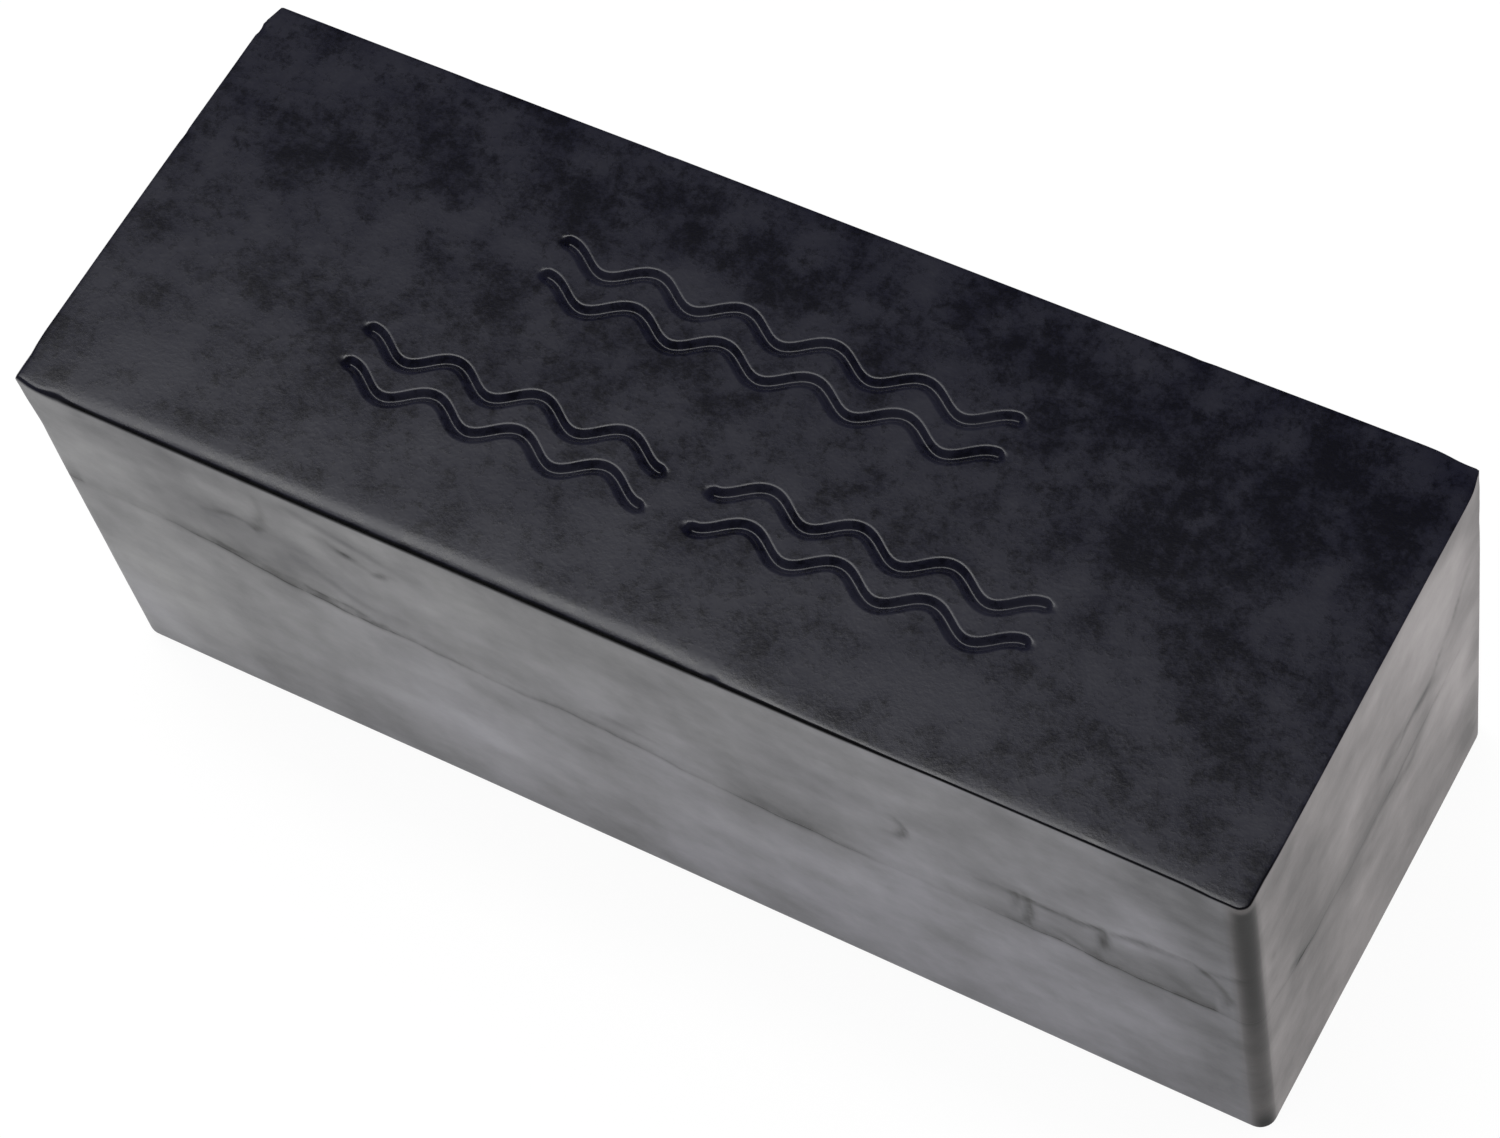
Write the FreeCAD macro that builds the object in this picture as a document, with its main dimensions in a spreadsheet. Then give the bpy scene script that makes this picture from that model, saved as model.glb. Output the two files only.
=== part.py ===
"""Diving brick: a rubber block with a steel bar sealed inside it.

The rubber went into the mould as two charges, one under the bar and one over it. They flowed round the
bar and met on a slanted knit line at about half height, so the jacket is two halves that seat on that
plane and close on the bar. The mould's cavity opens upwards: its walls are drafted, its upright corners
are rounded and its floor has a small radius. The lid closes on the top edge.

Frame: +X along the brick, +Z up, origin at the middle of the foot. Millimetres and degrees.
"""

import FreeCAD, Part
import os

import Sketcher

doc = FreeCAD.newDocument("diving_brick")

# Driving dimensions
SIZES = {
    "length": 222.25,  # at the top edge, where the mould opens
    "width": 82.55,
    "height": 82.55,
    "draft_angle": 0.15,  # each wall leans in by this towards the foot
    "upright_radius": 3.0,
    "brow_radius": 0.9,  # roll-off round the top edge
    "foot_radius": 0.8,
    "seam_left": 52.0,  # height of the knit line at the -X end
    "seam_right": 40.0,  # height of the knit line at the +X end
    "lip_radius": 0.4,  # each half rolls in by this at the knit line
    "floor_thickness": 15.875,  # rubber under the bar
    "bar_length": 158.75,
    "bar_side": 50.8,
    "bar_corner_radius": 2.4,  # rolled corners along the bar
    "bar_end_chamfer": 0.8,  # the sawn ends are deburred
}
sheet = doc.addObject("Spreadsheet::Sheet", "sizes")
for row, (alias, value) in enumerate(SIZES.items(), start=1):
    sheet.set(f"A{row}", alias)
    sheet.set(f"B{row}", str(value))
    sheet.setAlias(f"B{row}", alias)
doc.recompute()

NEAR = 1e-4  # two heights closer than this are the same
UNDER, OVER = +1, -1  # which side of the knit line a half keeps
ROUGH = 5.0  # a sketch is first drawn about this large, and its dimensions then size it
CENTRE = (-1, 1)  # a sketch's own origin


def new_body(name):
    """A body with its own label."""
    body = doc.addObject("PartDesign::Body", name)
    body.Label = name
    return body


def new_sketch(body, name, plane):
    """A sketch on one of the body's own origin planes."""
    sketch = body.newObject("Sketcher::SketchObject", name)
    support = next(f for f in body.Origin.OriginFeatures if f.Role == plane)
    sketch.AttachmentSupport = (support, [""])
    sketch.MapMode = "FlatFace"
    return sketch


def outline(sketch, corners):
    """Closed run of straight lines through rough corners, joined end to start."""
    points = [FreeCAD.Vector(x * ROUGH, y * ROUGH, 0) for x, y in corners]
    for start, end in zip(points, points[1:] + points[:1]):
        sketch.addGeometry(Part.LineSegment(start, end), False)
    for line in range(len(points)):
        following = (line + 1) % len(points)
        sketch.addConstraint(Sketcher.Constraint("Coincident", line, 2, following, 1))


def bind(sketch, name, direction, start, end, formula):
    """Adds the distance from one point to another and ties it to the sheet."""
    index = sketch.addConstraint(Sketcher.Constraint(f"Distance{direction}", *start, *end, ROUGH))
    sketch.renameConstraint(index, name)
    sketch.setExpression(f"Constraints.{name}", formula)


def centred_rectangle(sketch, wide, tall):
    """Rectangle about the sketch's origin. The two formulas give it its real size."""
    outline(sketch, [(-1, -1), (1, -1), (1, 1), (-1, 1)])
    for line, direction in enumerate(["Horizontal", "Vertical", "Horizontal", "Vertical"]):
        sketch.addConstraint(Sketcher.Constraint(direction, line))
    low_left, low_right, high_right = (0, 1), (1, 1), (2, 1)
    sketch.addConstraint(Sketcher.Constraint("Symmetric", *low_left, *high_right, *CENTRE))
    bind(sketch, "wide", "X", low_left, low_right, wide)
    bind(sketch, "tall", "Y", low_right, high_right, tall)


def named_edges(shape, wanted):
    """Names of the shape's edges whose box passes the test."""
    return [f"Edge{i}" for i, edge in enumerate(shape.Edges, start=1) if wanted(edge.BoundBox)]


def edges_at(shape, height):
    """Names of the edges that lie wholly at one height."""
    return named_edges(shape, lambda box: abs(box.ZMin - height) + abs(box.ZMax - height) < NEAR)


def is_level(face):
    """True for a flat face that lies nearer to level than to upright."""
    normal = face.normalAt(0, 0)
    return abs(normal.z) > max(abs(normal.x), abs(normal.y))


def knit_edges(shape, side):
    """Names of the edges round the knit face.

    It is the highest level face of the half under the line, and the lowest of the half over it.
    """
    flat = [face for face in shape.Faces if isinstance(face.Surface, Part.Plane)]
    knit = max(filter(is_level, flat), key=lambda face: face.CenterOfMass.z * side)
    return [f"Edge{i}" for i, edge in enumerate(shape.Edges, start=1)
            if any(edge.isSame(other) for other in knit.Edges)]


def rounded(body, name, base, edges, radius):
    """Fillet on the named edges, with its radius tied to the sheet."""
    fillet = body.newObject("PartDesign::Fillet", name)
    fillet.Base = (base, edges)
    fillet.setExpression("Radius", radius)
    doc.recompute()
    return fillet


def steel_bar():
    """Length of square hot-rolled bar, sawn off at both ends and laid along the brick."""
    body = new_body("steel_bar")
    section = new_sketch(body, "bar_section", "YZ_Plane")
    centred_rectangle(section, "sizes.bar_side", "sizes.bar_side")
    run = body.newObject("PartDesign::Pad", "bar_run")
    run.Profile = section
    run.SideType = "Symmetric"
    run.setExpression("Length", "sizes.bar_length")
    doc.recompute()

    long_edges = named_edges(run.Shape, lambda box: box.XLength > run.Shape.BoundBox.XLength - NEAR)
    rolled = rounded(body, "rolled_corners", run, long_edges, "sizes.bar_corner_radius")
    sawn = body.newObject("PartDesign::Chamfer", "sawn_ends")
    sawn.Base = (rolled, named_edges(rolled.Shape, lambda box: box.XLength < NEAR))
    sawn.setExpression("Size", "sizes.bar_end_chamfer")
    body.setExpression("Placement.Base.z", "sizes.floor_thickness + sizes.bar_side / 2")
    doc.recompute()
    return body


def moulded_block(body, name):
    """The whole block: the outline at its top edge carried down to the foot, its walls leaning in."""
    section = new_sketch(body, f"{name}_top_edge", "XY_Plane")
    section.setExpression("AttachmentOffset.Base.z", "sizes.height")
    centred_rectangle(section, "sizes.length", "sizes.width")
    block = body.newObject("PartDesign::Pad", f"{name}_block")
    block.Profile = section
    block.Reversed = True
    block.setExpression("Length", "sizes.height")
    doc.recompute()

    faces = {f"Face{i}": face.normalAt(0, 0).z for i, face in enumerate(block.Shape.Faces, start=1)}
    walls = [face for face, up in faces.items() if abs(up) < NEAR]
    mouth = max(faces, key=faces.get)
    draft = body.newObject("PartDesign::Draft", f"{name}_draft")
    draft.Base = (block, walls)
    draft.NeutralPlane = (block, [mouth])
    draft.Reversed = True
    draft.setExpression("Angle", "sizes.draft_angle")
    doc.recompute()
    if not draft.Shape.Volume < block.Shape.Volume - NEAR:
        raise RuntimeError(f"{name}: the walls don't lean in")
    whole_height = draft.Shape.BoundBox.ZLength
    uprights = named_edges(draft.Shape, lambda box: box.ZLength > whole_height - NEAR)
    return rounded(body, f"{name}_uprights", draft, uprights, "sizes.upright_radius")


def knit_cut(body, name, block, side):
    """Takes off what lies past the slanted knit line.

    The cutting outline runs half a length past each end of the brick and a height past its top or foot.
    """
    sketch = new_sketch(body, f"{name}_knit_outline", "XZ_Plane")
    outline(sketch, [(-2, 1), (2, 1), (2, 1 + side), (-2, 1 + side)])
    for line, direction in enumerate(["Vertical", "Horizontal", "Vertical"], start=1):
        sketch.addConstraint(Sketcher.Constraint(direction, line))
    left_end, right_end, far_corner = (0, 1), (1, 1), (2, 1)
    slant = "(sizes.seam_left - sizes.seam_right) / 2"
    bind(sketch, "left", "X", left_end, CENTRE, "sizes.length")
    bind(sketch, "right", "X", CENTRE, right_end, "sizes.length")
    bind(sketch, "left_height", "Y", CENTRE, left_end, f"sizes.seam_left + {slant}")
    bind(sketch, "right_height", "Y", CENTRE, right_end, f"sizes.seam_right - {slant}")
    if side == UNDER:
        bind(sketch, "far_side", "Y", CENTRE, far_corner, "2 * sizes.height")
    else:
        bind(sketch, "far_side", "Y", far_corner, CENTRE, "sizes.height")
    cut = body.newObject("PartDesign::Pocket", f"{name}_knit_cut")
    cut.Profile = sketch
    cut.SideType = "Symmetric"
    cut.setExpression("Length", "2 * sizes.width")
    doc.recompute()
    if not cut.Shape.Volume < block.Shape.Volume - NEAR:
        raise RuntimeError(f"{name}: the knit cut took nothing off")
    return cut


def rubber_half(name, side, rim_height, rim_radius, bar):
    """One half of the jacket.

    The block is cut at the knit line, its rim and its lips are rounded, and the bar hollows it.
    """
    body = new_body(f"{name}_form")
    block = moulded_block(body, name)
    cut = knit_cut(body, name, block, side)
    rim = rounded(body, f"{name}_rim", cut, edges_at(cut.Shape, rim_height), rim_radius)
    rounded(body, f"{name}_lips", rim, knit_edges(rim.Shape, side), "sizes.lip_radius")

    hollowed = doc.addObject("Part::Cut", name)
    hollowed.Label = name
    hollowed.Base = body
    hollowed.Tool = bar
    doc.recompute()
    return hollowed


bar = steel_bar()
foot_height = 0.0
brow_height = float(sheet.get("height"))
pieces = [
    bar,
    rubber_half("rubber_lower_half", UNDER, foot_height, "sizes.foot_radius", bar),
    rubber_half("rubber_upper_half", OVER, brow_height, "sizes.brow_radius", bar),
]

# Nothing is written unless every object came out whole
for item in doc.Objects:
    if "Invalid" in item.State or "Error" in item.State:
        raise RuntimeError(f"{item.Label} failed: {item.State}")
for piece in pieces:
    shape = piece.Shape
    if shape.isNull() or not shape.isValid() or len(shape.Solids) != 1:
        raise RuntimeError(f"{piece.Label} is not one sound solid")

os.makedirs("parts", exist_ok=True)
for piece in pieces:
    piece.Shape.exportStep(f"parts/{piece.Label}.step")
    box = piece.Shape.BoundBox
    print(f"{piece.Label}: {piece.Shape.Volume / 1000:.1f} cm3, "
          f"x {box.XMin:.2f} to {box.XMax:.2f}, y {box.YMin:.2f} to {box.YMax:.2f}, "
          f"z {box.ZMin:.2f} to {box.ZMax:.2f}")
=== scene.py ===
# %% [markdown]
# # A ten-pound diving brick
#
# The brick is a steel bar sealed in black rubber. The rubber goes into the mould as two charges, one under
# the bar and one over it, and the two meet along a knit line that can be followed round the sides.
#
# This lesson dresses the solids. The two rubber halves are rebuilt as fine surfaces with creases, soft
# edges and pressed grooves, and the bar keeps its own mesh and gets a finish. Each step says what the thing
# is, how it could be made, and why it is made this way.

# %% Load the fixed frame
import bmesh
import bpy
import math
import numpy as np
from mathutils import Matrix, Vector


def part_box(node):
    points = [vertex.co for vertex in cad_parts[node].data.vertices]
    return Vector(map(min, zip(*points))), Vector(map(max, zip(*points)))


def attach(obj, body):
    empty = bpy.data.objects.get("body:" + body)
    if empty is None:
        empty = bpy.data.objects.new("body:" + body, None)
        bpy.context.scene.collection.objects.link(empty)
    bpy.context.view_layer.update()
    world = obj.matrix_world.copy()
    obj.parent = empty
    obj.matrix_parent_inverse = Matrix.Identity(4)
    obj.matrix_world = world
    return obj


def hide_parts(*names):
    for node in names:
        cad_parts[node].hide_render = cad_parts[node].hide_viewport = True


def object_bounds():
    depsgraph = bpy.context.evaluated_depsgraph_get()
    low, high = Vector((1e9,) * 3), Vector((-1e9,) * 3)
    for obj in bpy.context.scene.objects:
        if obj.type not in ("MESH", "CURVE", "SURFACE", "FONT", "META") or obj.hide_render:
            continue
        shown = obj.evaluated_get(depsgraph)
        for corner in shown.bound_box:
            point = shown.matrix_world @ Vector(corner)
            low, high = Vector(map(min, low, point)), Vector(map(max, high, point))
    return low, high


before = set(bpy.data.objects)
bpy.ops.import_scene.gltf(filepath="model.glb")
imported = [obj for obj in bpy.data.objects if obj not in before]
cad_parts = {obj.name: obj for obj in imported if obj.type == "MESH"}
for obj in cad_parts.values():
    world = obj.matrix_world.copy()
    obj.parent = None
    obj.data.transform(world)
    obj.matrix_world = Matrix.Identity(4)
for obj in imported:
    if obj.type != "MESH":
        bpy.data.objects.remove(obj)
bpy.context.scene.view_settings.view_transform = "Standard"
cad_low, cad_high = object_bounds()
print("solids:", sorted(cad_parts), "high corner:", tuple(round(v, 5) for v in cad_high))

# %% [markdown]
# ## Sizes
#
# Shapes are worked out in millimetres and turned into metres when they go into a mesh. The outer sizes are
# read from the solids, so the surfaces can't drift away from them. The mould's own sizes, such as the draft
# that lets the block out, are named here.

# %% Sizes of the block and of the mould
MM = 0.001
HALF_LENGTH, HALF_WIDTH, HEIGHT = (value / MM for value in cad_high)
BAR_LOW, BAR_HIGH = (np.array(corner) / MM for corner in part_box("steel_bar"))
DRAFT = math.tan(math.radians(0.15))
RIM = 6.0
CORE_X = HALF_LENGTH - RIM
CORE_Y = HALF_WIDTH - RIM
KNIT_MIDDLE = 46.0
KNIT_RISE = 6.0
BAR_ROUND = 2.4
BAR_CHAMFER = 0.8
CLEAR = 0.02
print(f"block {2 * HALF_LENGTH:.2f} x {2 * HALF_WIDTH:.2f} x {HEIGHT:.2f} mm, bar to {BAR_HIGH[2]:.2f} mm")

# %% [markdown]
# ## The camera
#
# The brick is seen from above its front right corner, from 0.72 m away through a long lens, so that its
# upright edges lean towards each other only a little. A camera could be aimed by a constraint. Here its
# axes are worked out, because the picture is also tilted, by about sixteen degrees.

# %% Place the camera
LENS = 104.975
SENSOR = 36.0
EYE = Vector((253.71, -275.23, 657.02)) * MM
AIM = Vector((-0.09, -3.05, 41.275)) * MM
ROLL = math.radians(15.86)


def linked(name, data):
    """A new object in the scene."""
    thing = bpy.data.objects.new(name, data)
    bpy.context.scene.collection.objects.link(thing)
    return thing


def look(eye, aim, roll):
    """Camera matrix: minus Z runs from eye to aim, X is level, and then X and Y are turned by roll."""
    forward = (aim - eye).normalized()
    level = forward.cross(Vector((0, 0, 1))).normalized()
    upward = level.cross(forward)
    across = level * math.cos(roll) - upward * math.sin(roll)
    return Matrix((across, across.cross(forward), -forward)).transposed().to_4x4()


camera = linked("camera", bpy.data.cameras.new("camera"))
camera.data.lens = LENS
camera.data.sensor_width = SENSOR
camera.matrix_world = Matrix.Translation(EYE) @ look(EYE, AIM, ROLL)
bpy.context.scene.camera = camera
print("camera turned to", [round(math.degrees(angle), 2) for angle in camera.matrix_world.to_euler()])

# %% [markdown]
# ## A rim that everything shares
#
# A block with rounded upright corners is a core rectangle with a rim round it. Each place on the core's
# edge is moved out along its own normal: one for a whole side, and a fan of them at each corner. So a ring
# of the surface is a distance out and a height, and a half of the block is a stack of rings. Bevels on a
# cube would give the same outline, but no control over what happens along an edge.

# %% The rim of the core rectangle
CORNER_ROUND = 3.2
round_turn = np.radians(np.linspace(0, 90, 11))
round_middle = RIM - CORNER_ROUND
ROUND_ANGLES = np.degrees(np.arctan2(
    round_middle + CORNER_ROUND * np.sin(round_turn), round_middle + CORNER_ROUND * np.cos(round_turn)
))
FAN = np.concatenate([[8, 16], ROUND_ANGLES, [74, 82]])


def rim(x_lines, left_lines, right_lines):
    """Points round the core's edge, the way out, its angle past the last side's normal, and the walk.

    The walk is anticlockwise from the front left corner, in millimetres. A corner's point is repeated, and
    its normals fan out from one side's normal to the next, closest together where the corner is rounded.
    """
    sides = [
        (np.stack([x_lines, np.full_like(x_lines, -CORE_Y)], 1), 270),
        (np.stack([np.full_like(right_lines, CORE_X), right_lines], 1), 0),
        (np.stack([x_lines[::-1], np.full_like(x_lines, CORE_Y)], 1), 90),
        (np.stack([np.full_like(left_lines, -CORE_X), left_lines[::-1]], 1), 180),
    ]
    points, angles, turns, ways, start = [], [], [], [], 0.0
    for side, angle in sides:
        so_far = start + np.abs(side - side[0]).sum(1)
        start = so_far[-1]
        points += [side, np.repeat(side[-1:], len(FAN), 0)]
        angles += [np.full(len(side), float(angle)), angle + FAN]
        turns += [np.zeros(len(side)), FAN]
        ways += [so_far, np.full(len(FAN), start)]
    angles, turns = np.radians(np.concatenate(angles)), np.radians(np.concatenate(turns))
    outward = np.stack([np.cos(angles), np.sin(angles)], 1)
    return np.concatenate(points), outward, turns, np.concatenate(ways)


ROUND_TRIP = 4 * (CORE_X + CORE_Y)
print(f"the walk round the core is {ROUND_TRIP:.1f} mm")

# %% [markdown]
# ## Values that change along the walk
#
# The edges are not the same all the way round: the front one is soft on the left and crisp on the right,
# and the knit line wanders. Each such value is a short list of places and amounts, joined by a smooth curve
# that closes on itself. Painting the mesh by hand would do it too, but a list can be read and changed.

# %% Smooth curves through a few values
FRONT, END, BACK, LEFT, TOP = "front", "end", "back", "left", "top"
SIDE_AXES = {  # the axes along and up each face, and the axis across it with the face's place on that
    FRONT: (0, 2, 1, -HALF_WIDTH), END: (1, 2, 0, HALF_LENGTH), BACK: (0, 2, 1, HALF_WIDTH),
    LEFT: (1, 2, 0, -HALF_LENGTH), TOP: (0, 1, 2, HEIGHT),
}


def walked(side, place):
    """Distance along the walk of a place given by its x on the front or back, or by its y on an end."""
    return {
        FRONT: CORE_X + place,
        END: 2 * CORE_X + CORE_Y + place,
        BACK: 3 * CORE_X + 2 * CORE_Y - place,
        LEFT: 4 * CORE_X + 3 * CORE_Y - place,
    }[side]


def along(way, table):
    """Value at each distance: a cubic through the rows, whose slope at a row is that of its neighbours."""
    rows = sorted((walked(side, place), value) for side, pairs in table.items() for place, value in pairs)
    knots, values = np.array(rows).T
    knots = np.concatenate([knots[-2:] - ROUND_TRIP, knots, knots[:2] + ROUND_TRIP])
    values = np.concatenate([values[-2:], values, values[:2]])
    slopes = np.zeros_like(values)
    slopes[1:-1] = (values[2:] - values[:-2]) / (knots[2:] - knots[:-2])
    place = np.clip(np.searchsorted(knots, way, side="right") - 1, 1, len(knots) - 3)
    gap = knots[place + 1] - knots[place]
    part = (way - knots[place]) / gap
    step = part * part * (3 - 2 * part)
    lean = part * (1 - part) * gap * ((1 - part) * slopes[place] - part * slopes[place + 1])
    return values[place] + step * (values[place + 1] - values[place]) + lean


def eased(low, high, values):
    """0 below low, 1 above high, and a smooth step between them."""
    part = np.clip((values - low) / (high - low), 0, 1)
    return part * part * (3 - 2 * part)


# %% [markdown]
# ## Upright corners
#
# Rubber rarely fills a sharp corner of a mould. The upright corners are round, by about three millimetres
# at the foot, but the top's own corners came out crisper where excess rubber was pressed out. Two of them
# were bent in a little as the block was pulled from the mould, and one was trimmed with a knife, which took
# a sliver off it.

# %% Distance out to the surface at a corner
CORNER_TOP = {
    FRONT: [(CORE_X, 2.0), (-CORE_X, 0.6)],
    BACK: [(CORE_X, 0.6), (-CORE_X, 0.4)],
}
CORNER_FOOT = {
    FRONT: [(CORE_X, 2.9), (-CORE_X, 3.6)],
    BACK: [(CORE_X, 3.2), (-CORE_X, 3.2)],
}
CRISP = 14.0
TRIM_SIDE = np.array([-HALF_LENGTH, HALF_WIDTH - 4.6])
TRIM_TIP = np.array([-HALF_LENGTH + 1.3, HALF_WIDTH])
TRIM_REACH = 14.0
LEAST_ROUND = 0.3
BENT = [  # tip, push and radii of each bend
    ((-HALF_LENGTH, -HALF_WIDTH, HEIGHT), (0.1, 0.8, 0.0), (3.0, 3.0, 9.0)),
    ((HALF_LENGTH, HALF_WIDTH, HEIGHT), (-0.85, -0.5, 0.0), (3.0, 3.4, 10.0)),
    ((HALF_LENGTH - 4, HALF_WIDTH, HEIGHT), (0.0, -0.22, -0.4), (3.0, 3.0, 4.0)),
]


def wall_out(height):
    """How far the wall stands out from the core at a height, less than at the top by the draft."""
    return RIM - (HEIGHT - height) * DRAFT


def reach(out, height, turn, way):
    """Distance from the core to the surface along a fanned normal, where the faces stand out by out.

    The corner's last stretch is a circle. Its middle stays put as out shrinks, so that rings further in have
    a tighter circle. A ray meets a face, or the circle where it would pass the circle's middle.
    """
    share = eased(HEIGHT - CRISP, HEIGHT, height)
    radius = along(way, CORNER_FOOT) * (1 - share) + along(way, CORNER_TOP) * share
    middle = wall_out(height) - np.clip(radius, LEAST_ROUND, RIM)
    circle = np.maximum(out - middle, 0)
    cosine, sine = np.cos(turn), np.sin(turn)
    face = out / np.maximum(cosine, sine)
    under = np.maximum(circle ** 2 - middle ** 2 * (1 - np.sin(2 * turn)), 0)
    rounded = middle * (cosine + sine) + np.sqrt(under)
    return np.where(face * np.minimum(cosine, sine) > middle, rounded, face)


def trimmed(points):
    """Points past the knife's cut moved back onto it, less towards the foot, and the bent tips moved in.

    A bent tip moves by a bell curve of the distance from the tip, with its own radius along each axis.
    """
    run = TRIM_TIP - TRIM_SIDE
    facing = np.array([-run[1], run[0]]) / np.hypot(*run)
    past = np.maximum((points[..., :2] - TRIM_SIDE) @ facing, 0)
    past = past * eased(HEIGHT - TRIM_REACH, HEIGHT, points[..., 2])
    moved = points.copy()
    moved[..., :2] -= past[..., None] * facing
    for tip, push, radii in BENT:
        away = (((points - np.array(tip)) / np.array(radii)) ** 2).sum(-1)
        moved += np.exp(-away)[..., None] * np.array(push)
    return moved


# %% [markdown]
# ## The knit line
#
# The knit line falls from the left end to the right end, because the lower charge was thicker on the left.
# The solids have it as a slanted plane. On the surface it strays a few millimetres from that plane, and it
# is clear where the charges had cooled before they met and almost gone where they had not. So it has two
# curves, one for how far it strays and one for how clear it is, which also sets the height and depth of its
# lips.

# %% Course and strength of the knit line
KNIT_STRAY = {
    FRONT: [(-107, 2.4), (-96, 2.9), (-80, 2.6), (-70, 0.7), (-54, -0.6), (-37, -0.3), (-24, -1.0),
        (-12, 0.1), (1, -0.6), (15, -1.9), (31, -2.1), (45, -1.9), (60, -0.8), (76, 0.3), (85, -0.1),
        (94, -0.2), (103, 1.2)],
    END: [(-36, 0.9), (-27, -1.6), (-17, -2.2), (-8, -2.7), (0, -2.2), (11, -1.4), (22, 0.4), (34, 1.6)],
    BACK: [(98, 0.8), (70, -1.3), (48, 0.4), (20, 1.7), (-6, 0.2), (-36, -1.4), (-62, 0.6), (-90, 1.8)],
    LEFT: [(30, 0.4), (12, -1.2), (-8, 0.9), (-28, 2.3)],
}
KNIT_CLEAR = {
    FRONT: [(-107, 0.15), (-90, 0.3), (-80, 0.9), (-66, 0.9), (-50, 0.9), (-36, 0.6), (-22, 0.35),
        (-12, 0.6), (4, 0.55), (16, 0.35), (26, 1.0), (34, 0.9), (44, 0.3), (60, 0.2), (70, 0.7),
        (80, 1.0), (92, 0.9), (104, 1.0)],
    END: [(-36, 0.3), (-24, 0.45), (-4, 0.3), (10, 0.45), (22, 0.35), (34, 0.1)],
    BACK: [(96, 0.4), (70, 0.8), (50, 0.3), (28, 0.9), (0, 0.5), (-30, 0.9), (-56, 0.25), (-84, 0.7)],
    LEFT: [(34, 0.3), (10, 0.8), (-12, 0.5), (-32, 0.2)],
}
TREMBLE = [(0.16, 37, 1.0), (0.11, 61, 2.1), (0.07, 97, 0.0)]  # size in mm, waves in the walk, and phase
LEAST_CLEAR = 0.05
LIP_TALL, LIP_TALLER = 0.25, 0.3
LIP_DEEP, LIP_DEEPER = 0.01, 0.06


def knit_plane(x):
    """Height of the slanted plane that the two solids meet on."""
    return KNIT_MIDDLE - KNIT_RISE * x / HALF_LENGTH


def knit_height(way, x):
    """Height of the knit line on the surface: the plane, the stray, and a tremble of sine waves."""
    turn = 2 * np.pi * way / ROUND_TRIP
    tremble = sum(size * np.sin(waves * turn + phase) for size, waves, phase in TREMBLE)
    return knit_plane(x) + along(way, KNIT_STRAY) + tremble


def knit_lip(way):
    """Height and depth of each lip of the knit line, in millimetres."""
    clear = np.clip(along(way, KNIT_CLEAR), LEAST_CLEAR, 1.0)
    return LIP_TALL + LIP_TALLER * clear, LIP_DEEP + LIP_DEEPER * clear ** 1.5


course = knit_height(np.linspace(0, 2 * CORE_X, 200), np.linspace(-CORE_X, CORE_X, 200))
print(f"on the front the knit line runs from {course[0]:.1f} mm to {course[-1]:.1f} mm")

# %% [markdown]
# ## Creases where the stock folded
#
# Warm rubber creeps into the corners of a mould in folds, and each fold leaves a fine crease. They could be
# bump in the material, but a crease also shows in the plain mesh, so these are real dents. Each is a line
# of straight runs with a strength at each point, and the surface moves in by a bell curve of its distance
# from the line. Its points are jostled a little first, so that no crease is ruled.

# %% Lines of the creases
SEED = 7
CREASES = {
    FRONT: [
        [(-64.0, 78, 0.3), (-64.6, 73, 0.9), (-65.8, 68, 0.8), (-68.2, 66.2, 1.0), (-72, 66.4, 0.7),
         (-78, 65.8, 0.3)],
        [(-54.5, 73, 0.2), (-51.6, 72.6, 0.7), (-47.9, 70.6, 1.0), (-44.6, 68.4, 0.9), (-40.4, 69.8, 0.5),
         (-34, 73, 0.1)],
        [(-79, 54.5, 0.2), (-70, 52.5, 0.6), (-58, 50.8, 0.5), (-44, 49.8, 0.2)],
        [(-6, 50.8, 0.1), (2, 51.2, 0.4), (8, 50.4, 0.1)],
        [(49.6, 60.8, 0.2), (50.8, 58.4, 1.0), (50.2, 55.4, 0.7), (47.2, 54.2, 0.2)],
        [(64.2, 51.6, 0.3), (71.4, 52.9, 0.8), (79, 53.4, 0.9), (85.4, 53.2, 0.8), (86, 50.4, 0.6),
         (85, 46.8, 0.2)],
        [(72.9, 55.4, 0.5), (72.2, 49.6, 1.0), (71.4, 43.2, 0.6)],
        [(70.6, 54.2, 0.3), (70.2, 50.6, 0.7), (69.6, 46, 0.2)],
        [(84.4, 51.6, 0.3), (84.9, 48.2, 0.7), (83.8, 43.6, 0.3)],
        [(87.6, 52.8, 0.4), (94.8, 55.4, 0.6), (100.8, 55.6, 0.5), (103.8, 53, 0.8), (106.2, 48.8, 0.9),
         (105.6, 44, 0.8)],
        [(102.4, 54.6, 0.5), (108, 57.2, 0.8), (110.6, 58.4, 0.2)],
    ],
    END: [
        [(5, 48.8, 0.2), (13, 48.2, 0.8), (21.3, 49.7, 0.7), (26.3, 53.8, 0.6), (31.3, 59.7, 0.4),
         (35, 64, 0.1)],
        [(-35.6, 55.6, 0.4), (-36.2, 52.2, 0.9), (-35.4, 49.4, 0.4)],
        [(-30, 41.5, 0.1), (-26, 39.4, 0.7), (-22.5, 38.4, 0.2)],
    ],
}
CREASE_LINES = [  # x, y, z and strength of each line's points
    np.insert(np.array(line, float), *SIDE_AXES[side][2:], axis=1)
    for side, lines in CREASES.items() for line in lines
]
CREASE_WIDTH = 0.55
CREASE_DEPTH = 0.16
CREASE_MOST = 1.4
JOSTLE = 2.0
JOSTLE_SIZE = 5
SWELL_WAVES = 7
SWELL_GAIN = 0.9


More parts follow.
